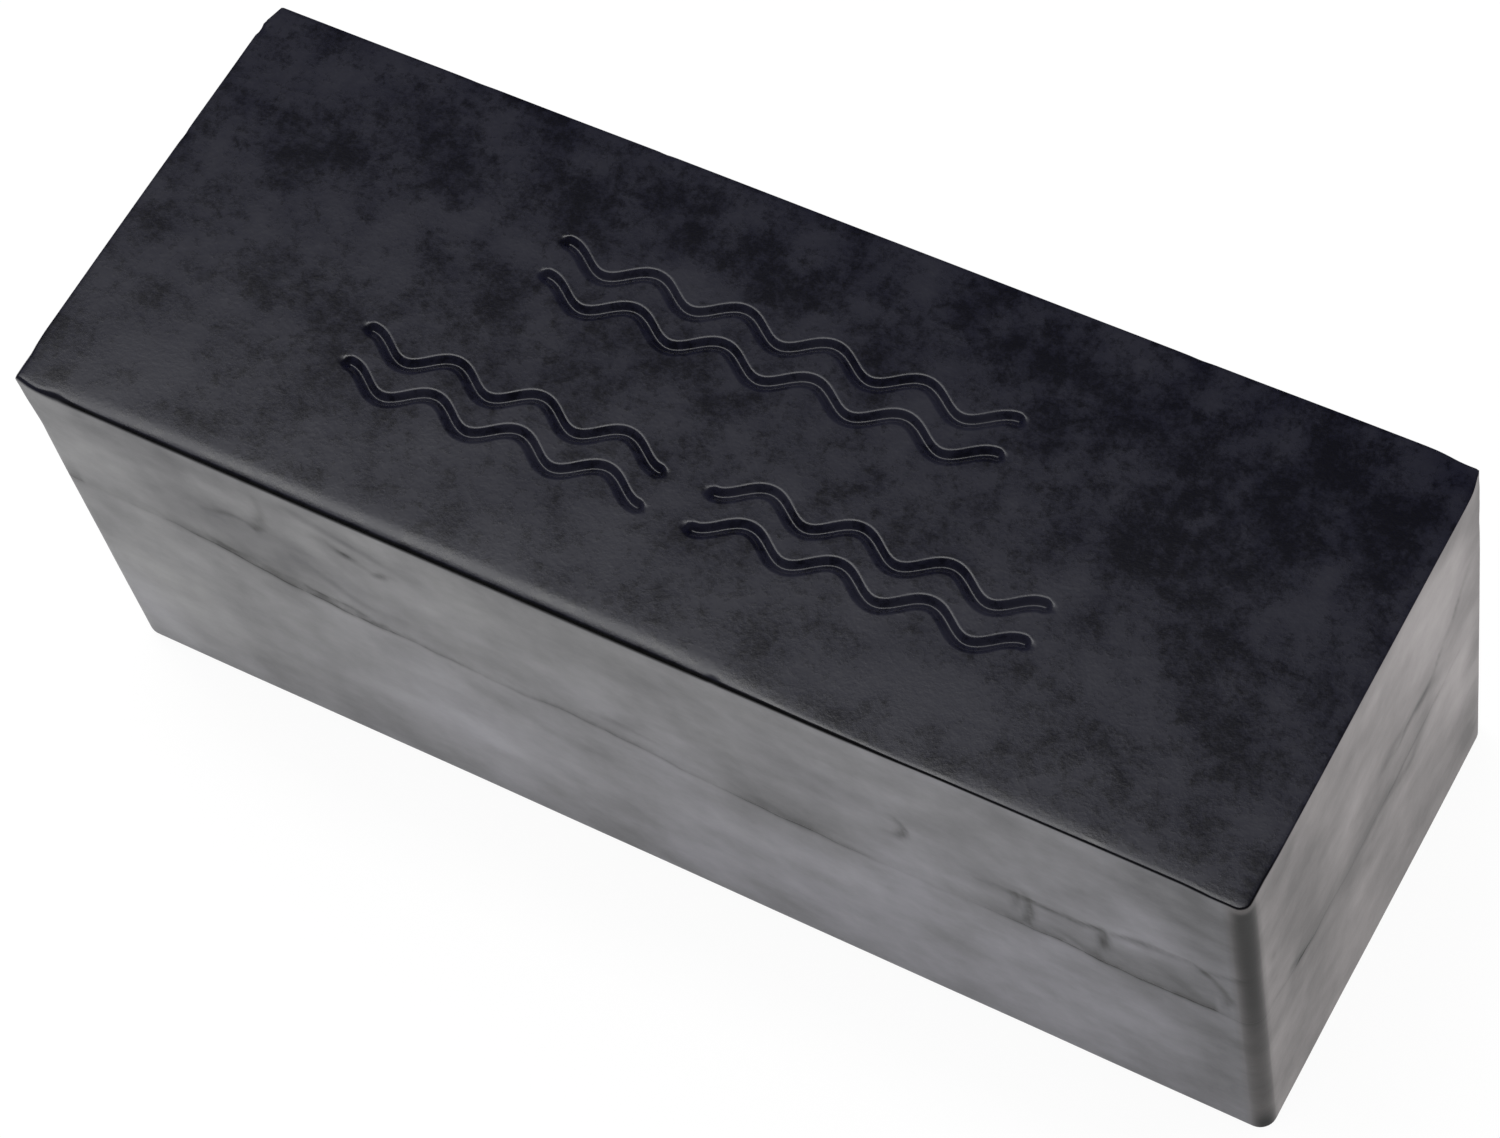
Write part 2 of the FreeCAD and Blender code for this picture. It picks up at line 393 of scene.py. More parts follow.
def swell(points, size, seed):
    """A slow swell from 0 to 1 with bumps of about that size: a mean of plane waves in seeded directions."""
    draws = np.random.default_rng(seed)
    directions = draws.normal(size=(SWELL_WAVES, 3))
    directions *= (draws.uniform(0.7, 1.4, SWELL_WAVES) / np.linalg.norm(directions, axis=1))[:, None]
    phases = draws.uniform(0, 2 * np.pi, SWELL_WAVES)
    waves = np.sin(points @ directions.T * (np.pi / size) + phases)
    return np.clip(0.5 + waves.mean(1) * SWELL_GAIN, 0, 1)


def jostled(points, far, size, seed):
    """Points moved by up to half of far along each axis, by a swell of its own for each."""
    return points + far * (np.stack([swell(points, size, seed + axis) for axis in range(3)], 1) - 0.5)


def nearest(points, line):
    """Distance from each point to a line of straight runs, and the line's strength at its nearest place."""
    best = np.full(len(points), np.inf)
    strength = np.zeros(len(points))
    for start, end in zip(line[:-1], line[1:]):
        run = (end - start)[:3]
        share = np.clip((points - start[:3]) @ run / (run @ run), 0, 1)
        away = np.linalg.norm(points - start[:3] - share[:, None] * run, axis=1)
        closer = away < best
        best = np.where(closer, away, best)
        strength = np.where(closer, start[3] + share * (end[3] - start[3]), strength)
    return best, strength


def creased(points, width):
    """Strength of the creases at each point: the sum of a bell curve of that width across every line."""
    moved = jostled(points, JOSTLE, JOSTLE_SIZE, SEED)
    total = np.zeros(len(points))
    for line in CREASE_LINES:
        away, strength = nearest(moved, line)
        total += strength * np.exp(-((away / width) ** 2))
    return total


print(f"{len(CREASE_LINES)} creases in {sum(len(line) - 1 for line in CREASE_LINES)} straight runs")

# %% [markdown]
# ## Rubber that is never quite flat
#
# A moulded block shrinks as it cools, more over the thick places, so its sides have slow hollows of about a
# tenth of a millimetre. They bend the reflections, which tells the eye that this is rubber and not painted
# metal. They only ever go inwards, so the block keeps its size.

# %% Depth of the surface below its plain form
SINK, SINK_SIZE = 0.11, 34
RIPPLE, RIPPLE_SIZE = 0.03, 9
NICKS = [  # middle, radius and depth of each
    (-102.2, -HALF_WIDTH, HEIGHT, 0.7, 0.45), (-98.0, -HALF_WIDTH, HEIGHT, 0.45, 0.3),
    (21.1, -HALF_WIDTH, HEIGHT, 0.7, 0.4), (-70.0, HALF_WIDTH, HEIGHT, 2.4, 0.06),
    (-34.0, HALF_WIDTH, HEIGHT, 0.9, 0.08), (63.0, HALF_WIDTH, HEIGHT, 1.6, 0.08),
    (-HALF_LENGTH, 12.0, HEIGHT, 1.0, 0.1), (-HALF_LENGTH, HALF_WIDTH - 5.6, HEIGHT, 0.7, 0.35),
    (-52.0, HALF_WIDTH, 0, 1.4, 0.3),
]


def relief(points):
    """How far each point lies inside the plain form: slow sinking, a shorter ripple, creases and nicks."""
    depth = SINK * swell(points, SINK_SIZE, SEED + 11) + RIPPLE * swell(points, RIPPLE_SIZE, SEED + 12)
    depth += CREASE_DEPTH * np.minimum(creased(points, CREASE_WIDTH), CREASE_MOST)
    for x, y, z, radius, deep in NICKS:
        away = ((points - np.array([x, y, z])) ** 2).sum(1)
        depth += deep * np.exp(-away / radius ** 2)
    return depth


# %% [markdown]
# ## Grooves in the top
#
# Two rows of plain wave grooves are pressed into the top, two waves in each, as raised wires on the mould's
# lid would leave them. Cutting them with a Boolean would leave ragged edges, and displacing a square grid
# would turn a sloping groove into steps. Instead the grid's own lines bend to run along each groove, close
# together where its wall is steep.

# %% Waves and the lines that follow them
GROOVE_DEPTH = 0.85
GROOVE_MOUTH = 1.3
GROOVE_FLOOR = 0.15
WAVE = 1.9
GROOVE_LINES = np.array([-1.65, -1.3, -1.08, -0.84, -0.58, -0.25, 0.25, 0.58, 0.84, 1.08, 1.3, 1.65])
ROWS = [
    {"heart": -13.4, "spans": [(-61, -5), (5, 61)], "waves": 3.5},
    {"heart": 14.2, "spans": [(-40, 42)], "waves": 5},
]
TWIN = 3.5  # each wave of a row lies this far from the row's heart


def wave(row, x):
    """Sideways shift of a row's waves and its slope: a cosine whose turns start and end with each span."""
    knots, turns = [], []
    for number, (start, end) in enumerate(row["spans"]):
        knots += [start, end]
        turns += [number * row["waves"], (number + 1) * row["waves"]]
    phase = 2 * np.pi * np.interp(x, knots, turns)
    inside = np.any([(x >= start) & (x <= end) for start, end in row["spans"]], axis=0)
    start, end = row["spans"][0]
    rate = 2 * np.pi * row["waves"] / (end - start)
    return WAVE * np.cos(phase), np.where(inside, -WAVE * rate * np.sin(phase), 0)


def past_end(row, x):
    """How far x lies outside the nearest span of a row."""
    return np.min([np.maximum(np.maximum(start - x, x - end), 0) for start, end in row["spans"]], axis=0)


def groove(away):
    """Depth of a groove at a distance from its middle: a flat floor, a smooth wall and a soft mouth."""
    return GROOVE_DEPTH * (1 - eased(GROOVE_FLOOR, GROOVE_MOUTH, away))


# %% [markdown]
# The lines across the brick are close together at the ends of the grooves. The lines along it are anchored
# on the grooves and filled in evenly between them. Past the last groove they ease back to even spacing, so
# that the block's ends are not striped with thin faces.

# %% Grid of the top face
SPACING = 0.72
END_SPACING = 0.2
END_REACH = 0.8
TRIAL_PLACES = 8001
IN_GROOVE = [1] * (len(GROOVE_LINES) - 1)
FILLS = [11, *IN_GROOVE, 3, *IN_GROOVE, 9, *IN_GROOVE, 3, *IN_GROOVE, 10]  # faces between the anchors
SETTLE_FROM, SETTLE_TO = 64, 84


def x_grid():
    """Lines across the brick whose spacing shrinks near each end of a groove, found from a running total."""
    x = np.linspace(-CORE_X, CORE_X, TRIAL_PLACES)
    ends = [edge for row in ROWS for span in row["spans"] for edge in span]
    finer = sum(np.exp(-(((x - edge) / END_REACH) ** 2)) for edge in ends)
    density = 1 / SPACING + (1 / END_SPACING - 1 / SPACING) * np.minimum(finer, 1)
    total = np.concatenate([[0], np.cumsum((density[1:] + density[:-1]) / 2 * np.diff(x))])
    return np.interp(np.linspace(0, total[-1], int(total[-1]) + 1), total, x)


def top_grid(x):
    """Y of every grid line at every x, and the depth of the grooves there, as arrays of lines by places."""
    anchors, centres = [np.full_like(x, -CORE_Y)], []
    for row in ROWS:
        shift, slope = wave(row, x)
        for side in (-TWIN, TWIN):
            middle = row["heart"] + side + shift
            centres.append((row, side))
            anchors += [middle + offset * np.sqrt(1 + slope ** 2) for offset in GROOVE_LINES]
    anchors = np.array(anchors + [np.full_like(x, CORE_Y)])
    places = [start + np.arange(count) / count for start, count in enumerate(FILLS)]
    places = np.concatenate(places + [[len(FILLS)]])
    whole = np.minimum(places.astype(int), len(FILLS) - 1)
    part = (places - whole)[:, None]
    y = anchors[whole] * (1 - part) + anchors[whole + 1] * part
    even = np.linspace(-CORE_Y, CORE_Y, len(places))[:, None]
    settle = eased(SETTLE_FROM, SETTLE_TO, np.abs(x))
    depth = np.zeros_like(y)
    for row, side in centres:
        shift, slope = wave(row, x)
        across = (y - row["heart"] - side - shift) / np.sqrt(1 + slope ** 2)
        depth = np.maximum(depth, groove(np.hypot(across, past_end(row, x))))
    return y * (1 - settle) + even * settle, depth


top_x = x_grid()
top_y, top_depth = top_grid(top_x)
print(f"top grid of {len(top_x)} by {len(top_y)} lines, least gap {np.diff(top_y, axis=0).min():.3f} mm")

# %% [markdown]
# ## The edge of the top
#
# The top doesn't stop at a plain radius. Along the left and middle of the front it sinks slowly over the
# last three millimetres and then rolls over, which gives a pale band and a thin black line beside it.
# Towards the right end it is crisp, and the wall stands back a little under it. So the edge has two parts:
# a shoulder, which is a parabola, and a round, which takes over at the shoulder's own slope.

# %% Shoulder and round of an edge
SHOULDER_FALL = {
    FRONT: [(-104, 0.04), (-97, 0.12), (-88, 0.18), (-60, 0.22), (-20, 0.22), (10, 0.21), (28, 0.09),
        (44, 0.02), (60, 0.045), (80, 0.09), (92, 0.05), (104, 0.04)],
    END: [(0, 0.02), (34, 0.02)],
    BACK: [(60, 0.02), (-60, 0.02)],
    LEFT: [(20, 0.02), (-30, 0.03)],
}
EDGE_ROUND = {
    FRONT: [(-106.5, 0.7), (-103, 1.3), (-98, 1.0), (-80, 1.1), (-30, 1.1), (10, 1.1), (34, 0.8),
        (44, 0.75), (56, 0.5), (104, 0.45)],
    END: [(-34, 0.35), (-20, 0.25), (35, 0.25)],
    BACK: [(70, 0.25), (0, 0.25), (-80, 0.25)],
    LEFT: [(30, 0.22), (-30, 0.25)],
}
# How black the round of each top edge is painted along the walk: painted shade that deepens the dark line the
# round mirrors.
EDGE_LINE_PAINTED_SHADE = {
    FRONT: [(-106.5, 0.3), (-103, 0.5), (-98, 1.0), (-92, 0.85), (-80, 0.95), (20, 1.0), (60, 0.9),
        (104, 0.8)],
    END: [(-36, 0.8), (-26, 0.25), (36, 0.1)],
    BACK: [(0, 0.1)],
    LEFT: [(0, 0.1), (-36, 0.3)],
}
SHOULDER_WIDTH = 2.9
SHOULDER_STEPS = 5
ROUND_STEPS = 6
FOOT_ROUND = {
    FRONT: [(-90, 0.6), (0, 0.7), (90, 0.6)],
    END: [(0, 0.15)],
    BACK: [(40, 0.8), (-60, 0.6)],
    LEFT: [(0, 0.7)],
}
SET_BACK = {
    FRONT: [(-CORE_X, 0.1), (-60, 0.1), (0, 0.1), (28, 0.08), (40, 0.0), (50, 0.08), (62, 0.27),
        (100, 0.3)],
    END: [(-CORE_Y, 0.1), (-30, 0.0), (30, 0.0)],
    BACK: [(90, 0.0), (-90, 0.0)],
    LEFT: [(30, 0.0), (-CORE_Y + 2, 0.0)],
}
SET_BACK_REACH = 30.0


def set_back(way, height):
    """How far the wall stands back from its plain place, most at the top and nothing well below it."""
    return np.maximum(along(way, SET_BACK), 0) * eased(HEIGHT - SET_BACK_REACH, HEIGHT, height)


def turned_edge(way):
    """Rings over the edge as distance out, drop from the flat face and tilt of the normal above level.

    A parabola falls over the shoulder. Then a circle starts at the parabola's last slope and ends upright.
    """
    fall, radius = along(way, SHOULDER_FALL), along(way, EDGE_ROUND)
    slope = np.arctan2(2 * fall, SHOULDER_WIDTH)
    middle = RIM - radius
    part = np.linspace(0, 1, SHOULDER_STEPS)[:, None]
    out = middle + radius * np.sin(slope) - SHOULDER_WIDTH * (1 - part)
    drop = fall * part ** 2
    tilt = np.pi / 2 - np.arctan2(2 * fall * part, SHOULDER_WIDTH)
    angle = (np.pi / 2 - slope) * (1 - np.arange(1, ROUND_STEPS + 1) / ROUND_STEPS)[:, None]
    round_out = middle + radius * np.cos(angle)
    round_drop = fall + radius * (np.cos(slope) - np.sin(angle))
    return np.concatenate([out, round_out]), np.concatenate([drop, round_drop]), np.concatenate([tilt, angle])


# %% [markdown]
# ## From rings to a closed piece
#
# Each half is one closed skin: a grid over its flat face, rings over the edge and down the wall, the rolled
# lip of the knit line, the joint face in to the bar's pocket, and the pocket itself. The corner points that
# were repeated are merged at the end, and the skin is checked for open edges.

# %% Mesh from a grid and its rings
NORMAL_BREAK = math.radians(38)
SAME_POINT = 0.0005


def quads(rows, columns, closed):
    """Corner numbers of the faces between neighbouring rows and columns of a block of numbered points."""
    row = np.arange(rows - 1)[:, None] * columns
    here = np.arange(columns if closed else columns - 1)[None, :]
    there = (here + 1) % columns
    return np.stack([row + here, row + columns + here, row + columns + there, row + there], -1).reshape(-1, 4)


def closed_piece(name, sheet, rings, marks, under):
    """An object from a grid sheet (lines, places, 3), rings (rings, points, 3) and marks, in millimetres.

    Marks are for the last vertices, and 0 on the rest. Under turns the faces over, for the lower half.
    """
    lines, places = sheet.shape[:2]
    sheet_faces = quads(lines, places, False)
    ring_faces = quads(*rings.shape[:2], True) + lines * places
    lid = lines * places + (rings.shape[0] - 1) * rings.shape[1] + np.arange(rings.shape[1])
    if under:
        ring_faces = ring_faces[:, ::-1]
    else:
        sheet_faces, lid = sheet_faces[:, ::-1], lid[::-1]
    points = np.concatenate([sheet.reshape(-1, 3), rings.reshape(-1, 3)]) * MM
    mesh = bpy.data.meshes.new(name)
    mesh.from_pydata(points.tolist(), [], sheet_faces.tolist() + ring_faces.tolist() + [lid.tolist()])
    for mark, values in marks.items():
        layer = mesh.attributes.new(mark, "FLOAT", "POINT")
        padded = np.concatenate([np.zeros(len(points) - len(values)), values])
        layer.data.foreach_set("value", padded.astype(np.float32))
    shell = bmesh.new()
    shell.from_mesh(mesh)
    bmesh.ops.remove_doubles(shell, verts=shell.verts, dist=SAME_POINT * MM)
    open_edges = sum(not edge.is_manifold for edge in shell.edges)
    shell.to_mesh(mesh)
    volume = shell.calc_volume() / MM ** 3 / 1000
    shell.free()
    mesh.polygons.foreach_set("use_smooth", np.ones(len(mesh.polygons), bool))
    mesh.set_sharp_from_angle(angle=NORMAL_BREAK)
    triangles = sum(len(face.vertices) - 2 for face in mesh.polygons)
    print(f"{name}: {triangles} triangles, {volume:.1f} cm3, {open_edges} open edges")
    return linked(name, mesh)


# %% [markdown]
# The lip, the joint face and the pocket are the same for both halves, only mirrored in height, so one
# function makes them. The lip is a quarter of an ellipse from the wall to the knit line. The joint face
# goes straight in to the pocket's mouth, and the pocket ends in the rounds and chamfers of the bar.

# %% Rings of the lip, the joint face and the pocket
LIP_STEPS = 4
POCKET_STEPS = 4


def lip_start(way, x, side):
    """Height where the wall gives way to the lip, above the knit line for side 1 and below it for -1."""
    return knit_height(way, x) + side * knit_lip(way)[0]


def placed(edge, out, height):
    """Points of rings round the core that stand out by out at a height: rings by points by axes."""
    base, outward, turn, way = edge
    plan = base[None] + outward[None] * reach(out, height, turn, way)[..., None]
    return np.concatenate([plan, np.broadcast_to(height, plan.shape[:2])[..., None]], -1)


def lip_rings(edge, side):
    """Rings of the lip: height falls as one minus a sine while depth grows as one minus a cosine."""
    base, _, _, way = edge
    tall, deep = knit_lip(way)
    rolled = (np.arange(1, LIP_STEPS + 1) / LIP_STEPS * np.pi / 2)[:, None]
    height = knit_height(way, base[:, 0]) + side * tall * (1 - np.sin(rolled))
    return placed(edge, wall_out(height) - deep * (1 - np.cos(rolled)), height)


def pocket_rings(base, side):
    """Rings from the pocket's mouth on the slanted plane to its far face, with its rounds and chamfers."""
    far = BAR_HIGH[2] + CLEAR if side > 0 else BAR_LOW[2] - CLEAR
    half = BAR_HIGH[:2] + CLEAR
    mouth = base / np.array([CORE_X, CORE_Y]) * half
    turn = (np.arange(POCKET_STEPS + 1) / POCKET_STEPS * np.pi / 2)[:, None]
    short = BAR_ROUND * (1 - np.sin(turn))
    inset = np.stack([np.maximum(BAR_CHAMFER - short, 0), BAR_ROUND * (1 - np.cos(turn))], -1)
    plan = mouth[None] * (1 - inset / half)
    height = np.broadcast_to(far - side * short, plan.shape[:2])
    first = np.concatenate([mouth, knit_plane(mouth[:, :1])], 1)
    return np.concatenate([first[None], np.concatenate([plan, height[..., None]], -1)])


def inner_rings(edge, side, wall_end):
    """The lip, sunk as the wall's end is, one ring half way along the joint face, and the pocket."""
    lip = lip_rings(edge, side)
    lip[..., :2] -= edge[1][None] * wall_end[None, :, None]
    pocket = pocket_rings(edge[0], side)
    return np.concatenate([lip, (lip[-1:] + pocket[:1]) / 2, pocket])


# %% [markdown]
# ## Marks for the finish
#
# The finish needs to know where it is: on a side or on the top, near a crease, which is painted dark as
# shade, close above the knit line, in a smudge, some of which are painted shade and painted reflection, on
# the black line of the top edge, which is painted shade, or on a corner that hands have rubbed. These are
# worked out once per vertex and kept as attributes, because a material can't measure the distance to a
# crease by itself.

# %% Marks on the surface
# Smudges on each face: place along it, height, width, tall radius and strength. Most are the bloom's own
# uneven tone, but the long band along the front's foot is painted shade, and the pale patches on the back
# half of the right end are a painted reflection.
PATCHES = {
    FRONT: [(-62, 57, 13, 3.4, 0.9), (-50, 55, 9, 3, 0.7), (37, 59, 9, 6, 0.5), (28, 43.6, 6, 1.8, 1.0),
        (78, 47, 8, 5, 0.5), (80, 42.8, 8, 1.6, 0.8), (104, 43.5, 3, 2.4, 0.8), (11, 73, 6, 4, 0.5),
        (-58, 8, 9, 5, 0.6), (-81, 8, 4, 6, 0.4), (-3, 6, 5, 5, 0.4), (26, 9, 6, 6, 0.35),
        (92, 10, 8, 6, 0.45), (88, 77, 10, 3, 0.4), (0, 51, 9, 1.8, 0.45), (-4, 37, 26, 3, 0.3),
        (0, 1, 110, 4, 0.35), (-72, 66, 9, 5, 0.5), (-72, 74, 6, 3.5, -0.7), (-52, 72, 4, 3, -0.45),
        (-56, 64, 13, 6, 0.8), (-78, 77, 12, 3, 0.7), (-46, 76, 11, 2.4, 0.9), (98, 74, 14, 8, 0.5),
        (-100, 14, 12, 14, -0.5), (-26, 66, 16, 9, -0.35), (-101, 64, 7, 9, -0.5),
        (-96, 26, 12, 18, -0.8), (-60, 26, 24, 9, -0.25), (-28, 20, 16, 8, -0.4), (105, 36, 8, 60, 0.9),
        (40, 30, 34, 5, -0.35), (96, 56, 9, 4, -0.3), (60, 70, 12, 7, -0.25)],
    END: [(27, 8, 13, 4.5, 0.7), (33, 9, 3.5, 2.5, 0.6), (28, 70, 9, 12, -0.6), (-26, 40, 5, 3, 0.5),
        (6, 38.5, 19, 2.6, 1.0), (14, 48.6, 10, 2.2, 0.8), (-27, 58, 9, 16, 0.5), (-30, 77, 6, 3, 0.4),
        (21, 66, 11, 12, -1.2), (30, 34, 8, 14, -1.1), (4, 76, 20, 4, -0.3), (-28, 34, 12, 40, 0.7),
        (2, 38, 16, 13, 0.7)],
    BACK: [(40, 52, 18, 4, 0.5), (-48, 20, 14, 8, 0.4), (-70, 58, 10, 5, 0.5), (10, 62, 30, 10, -0.4)],
    LEFT: [(-6, 54, 12, 3, 0.5), (20, 18, 9, 7, 0.4)],
    TOP: [(-102, -39, 6, 1.6, 1.1), (-84, 20, 8, 6, 0.9), (-70, 26, 12, 8, 0.4), (-44, 28, 7, 5, 0.9),
        (-22, 31, 14, 5, 0.7), (2, 26, 8, 5, 0.8), (30, 33, 9, 5, 0.9), (48, 28, 8, 6, 0.8),
        (66, 18, 12, 10, 0.7), (92, 28, 14, 7, 0.9), (78, 4, 14, 9, 0.7), (104, 14, 4, 16, 0.6),
        (98, -12, 9, 12, 0.5), (-60, -6, 16, 8, 0.4), (-10, 4, 20, 6, 0.35), (86, -30, 12, 5, 0.45),
        (-76, -33, 8, 3, 0.5), (97, 8, 5, 12, -0.5), (46, -27, 14, 6, -0.5), (-92, -30, 9, 5, -0.7),
        (-70, 4, 14, 7, -0.4), (-100, 34, 8, 5, -0.4), (-20, -28, 26, 6, -0.4), (20, 14, 12, 6, -0.4),
        (64, -12, 8, 8, -0.4)],
}
PATCH_JOSTLE = 8.0
PATCH_MOST = 1.2
NEAR_FACE = 3


def patched(points):
    """Darkness of the smudges, which include painted shade and a painted reflection, below 0 where it is
    paler: a bell curve in two radii for each.
    """
    moved = jostled(points, PATCH_JOSTLE, PATCH_JOSTLE, SEED + 20)
    total = np.zeros(len(points))
    for side, patches in PATCHES.items():
        lengthwise, upward, crosswise, level = SIDE_AXES[side]
        on_side = np.abs(points[:, crosswise] - level) < NEAR_FACE
        for place, rise, wide, tall, strength in patches:
            away = ((moved[:, lengthwise] - place) / wide) ** 2 + ((moved[:, upward] - rise) / tall) ** 2
            total += strength * np.exp(-away) * on_side
    return np.clip(total, -PATCH_MOST, PATCH_MOST)


WORN = {
    FRONT: [(60, 0.5), (CORE_X, 1.0), (-CORE_X, 0.0), (-60, 0.0)],
    END: [(0, 0.3)],
    BACK: [(CORE_X, 0.12), (0, 0.3), (-CORE_X, 0.7)],
    LEFT: [(0, 0.3)],
}
# Creases are painted dark as shade; the knit line's smear and thin line are its own darker tone.
CREASE_SHADE, CREASE_BLUR = 1.15, 0.8
SMEAR_SHADE, SMEAR_ABOVE, SMEAR_BELOW = 0.75, 3.2, 0.6
LINE_SHADE, LINE_BLUR = 0.3, 0.7
SHADE_MOST = 1.3
RUBBED_IN, RUBBED_OUT = 1.7, 4.4


def surface_marks(points, way, upright):
    """Marks of a half's rings: side faces, creases with painted shade and the knit line, smudges with painted
    light, and rubbed upright corners shaped by painted light.
    """
    flat = points.reshape(-1, 3)
    ways = np.broadcast_to(way, points.shape[:2]).ravel()
    above = flat[:, 2] - knit_height(ways, flat[:, 0])
    clear = np.clip(along(ways, KNIT_CLEAR), 0, 1)
    fade = np.where(above > 0, SMEAR_ABOVE, SMEAR_BELOW)
    smear = SMEAR_SHADE * np.exp(-np.abs(above) / fade)
    line = clear * (smear + LINE_SHADE * np.exp(-((above / LINE_BLUR) ** 2)))
    corner = np.abs(np.abs(flat[:, 0]) - HALF_LENGTH) + np.abs(np.abs(flat[:, 1]) - HALF_WIDTH)
    rise = flat[:, 2]
    # How dark a rubbed corner is also follows the light: weaker just under the top edge, which leaves a
    # painted highlight, and stronger at the foot, which is painted shade.
    worn_and_painted_light = 0.72 + 0.28 * eased(22, 52, rise) + 0.5 * (1 - eased(1, 9, rise))
    worn_and_painted_light = worn_and_painted_light - 0.6 * eased(HEIGHT - 2.6, HEIGHT - 0.8, rise)
    return {
        "side": np.broadcast_to(upright, points.shape[:2]).ravel(),
        "crease": np.minimum(CREASE_SHADE * creased(flat, CREASE_BLUR) + line, SHADE_MOST),
        "smudge": patched(flat),
        "corner": (1 - eased(RUBBED_IN, RUBBED_OUT, corner)) * along(ways, WORN) * worn_and_painted_light,
    }


# %% [markdown]
# ## The upper half
#
# It starts from the grooved top. The next rings carry the slow shoulder, then the round, then the wall down
# to the knit line. Sinking and creases are taken off along the surface's own normal, so that a crease can
# run over an edge. The wall's rows are close enough to hold a crease a millimetre wide.

# %% Build the upper half
UPPER_ROWS = 46
SIDE_RING, SIDE_SHARES = 9, (0.35, 0.85, 1)  # from this ring on the round, each counts this much as side
LINE_RING, LINE_SHARES = 6, (0.6, 1, 1, 0.55)  # and these carry the black line


def sunk(outward, tilt, points):
    """Points moved in along the normal that leans up by tilt, by the depth of the relief there."""
    depth = relief(points.reshape(-1, 3)).reshape(points.shape[:2])
    out = np.cos(tilt)[..., None] * outward[None]
    return points - np.concatenate([out, np.sin(tilt)[..., None]], -1) * depth[..., None], depth


def upper_half():
    """The half over the bar, from the grooved top to the ceiling of the pocket."""
    edge = rim(top_x, top_y[:, 0], top_y[:, -1])
    base, outward, _, way = edge
    out, drop, tilt = turned_edge(way)
    edge_end = HEIGHT - drop[-1]
    part = (np.arange(1, UPPER_ROWS + 1) / UPPER_ROWS)[:, None]
    wall = edge_end + (lip_start(way, base[:, 0], 1) - edge_end) * part
    out = np.concatenate([np.zeros((1, len(way))), out, wall_out(wall)])
    height = np.concatenate([np.full((1, len(way)), HEIGHT), HEIGHT - drop, wall])
    tilt = np.concatenate([np.full((1, len(way)), np.pi / 2), tilt, np.zeros_like(wall)])
    out[1:] -= set_back(way, height[1:])
    skin, depth = sunk(outward, tilt, trimmed(placed(edge, out, height)))
    rings = np.concatenate([skin, inner_rings(edge, 1, depth[-1])])
    sheet = np.stack([np.broadcast_to(top_x, top_y.shape), top_y, np.full_like(top_y, HEIGHT)], -1)
    sheet[..., 2] -= relief(sheet.reshape(-1, 3)).reshape(top_y.shape) + top_depth
    upright = np.zeros((len(rings), 1))
    upright[SIDE_RING:] = 1
    upright[SIDE_RING:SIDE_RING + len(SIDE_SHARES), 0] = SIDE_SHARES
    marks = surface_marks(rings, way, upright)
    # The lip mark paints the round of the top edge black, as painted shade.
    rolled = np.zeros((len(rings), 1))
    rolled[LINE_RING:LINE_RING + len(LINE_SHARES), 0] = LINE_SHARES
    marks["lip"] = (rolled * along(way, EDGE_LINE_PAINTED_SHADE)).ravel()
    marks["smudge"] = np.concatenate([patched(sheet.reshape(-1, 3)), marks["smudge"]])
    return closed_piece("upper_jacket", sheet, rings, marks, False)


upper_jacket = upper_half()

# %% [markdown]
# ## The lower half
#
# It starts from the foot, which is flat enough to stand on and a little hollow, and goes up to the same
# knit line. Its faces are turned over, because the walk is anticlockwise seen from above and here the
# outside is below.

# %% Build the lower half
LOWER_ROWS = 56
FOOT_SPACING = 0.78
FOOT_LINES = 56
FOOT_STEPS = 5


def lower_half():
    """The half under the bar, from the foot to the floor of the pocket."""
    x = np.linspace(-CORE_X, CORE_X, int(2 * CORE_X / FOOT_SPACING))
    y = np.linspace(-CORE_Y, CORE_Y, FOOT_LINES)
    edge = rim(x, y, y)
    base, outward, _, way = edge
    radius = along(way, FOOT_ROUND)
    angle = (np.arange(FOOT_STEPS + 1) / FOOT_STEPS * np.pi / 2)[:, None]
    foot_out = wall_out(0) - radius * (1 - np.sin(angle))
    foot_height = radius * (1 - np.cos(angle))
    part = (np.arange(1, LOWER_ROWS + 1) / LOWER_ROWS)[:, None]
    wall = radius + (lip_start(way, base[:, 0], -1) - radius) * part
    out = np.concatenate([np.zeros((1, len(way))), foot_out, wall_out(wall)])
    height = np.concatenate([np.zeros((1, len(way))), foot_height, wall])
    rolling = angle - np.pi / 2 + np.zeros(len(way))
    tilt = np.concatenate([np.full((1, len(way)), -np.pi / 2), rolling, np.zeros_like(wall)])
    skin, depth = sunk(outward, tilt, placed(edge, out, height))
    rings = np.concatenate([skin, inner_rings(edge, -1, depth[-1])])
    sheet = np.stack(np.broadcast_arrays(x[None, :], y[:, None], np.zeros((len(y), len(x)))), -1).copy()
    sheet[..., 2] += relief(sheet.reshape(-1, 3)).reshape(sheet.shape[:2])
    upright = np.zeros((len(rings), 1))
    upright[FOOT_STEPS + 1:] = 1
    return closed_piece("lower_jacket", sheet, rings, surface_marks(rings, way, upright), True)


lower_jacket = lower_half()

# %% [markdown]
# ## Shader maths as expressions
#
# A graph is easier to read as arithmetic. A wire stands for one socket, and adding or multiplying wires
# adds the Math nodes that do it. Colours are mixed by their own node, because a Math node would turn them
# grey. Every other node comes from one method, which sets its options and then its sockets.

# %% Wires and nodes


